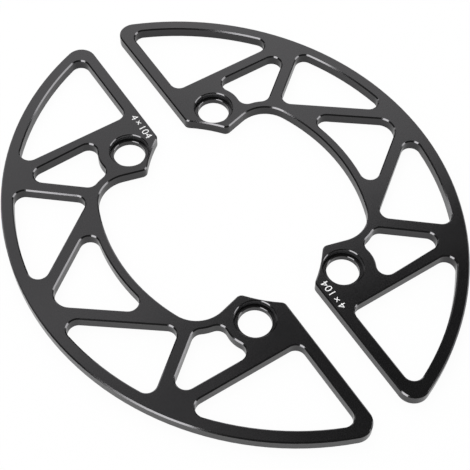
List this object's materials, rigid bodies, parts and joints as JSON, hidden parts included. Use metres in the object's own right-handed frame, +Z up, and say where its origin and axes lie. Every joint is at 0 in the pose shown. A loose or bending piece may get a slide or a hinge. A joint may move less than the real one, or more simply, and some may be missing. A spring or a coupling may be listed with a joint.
{
  "type": "split chainring guard",
  "caption": "Flat split chainring guard of windowed aluminium half plates with counterbored bolt holes, bolted to a crank's arms beside the chainring.",
  "frame": {"origin": "centre of the pair's box, on the plane that both halves lie on", "axes": "+Z up, out of the counterbored faces; +Y along the split between the halves; +X towards the right half"},
  "size_m": [0.1386, 0.1686, 0.004],
  "materials": {
    "black_anodised": "satin black anodised",
    "white_mark": "matte white print"
  },
  "bodies": {
    "root": {"right_guard_half": "black_anodised", "left_guard_half": "black_anodised"}
  },
  "joints": []
}
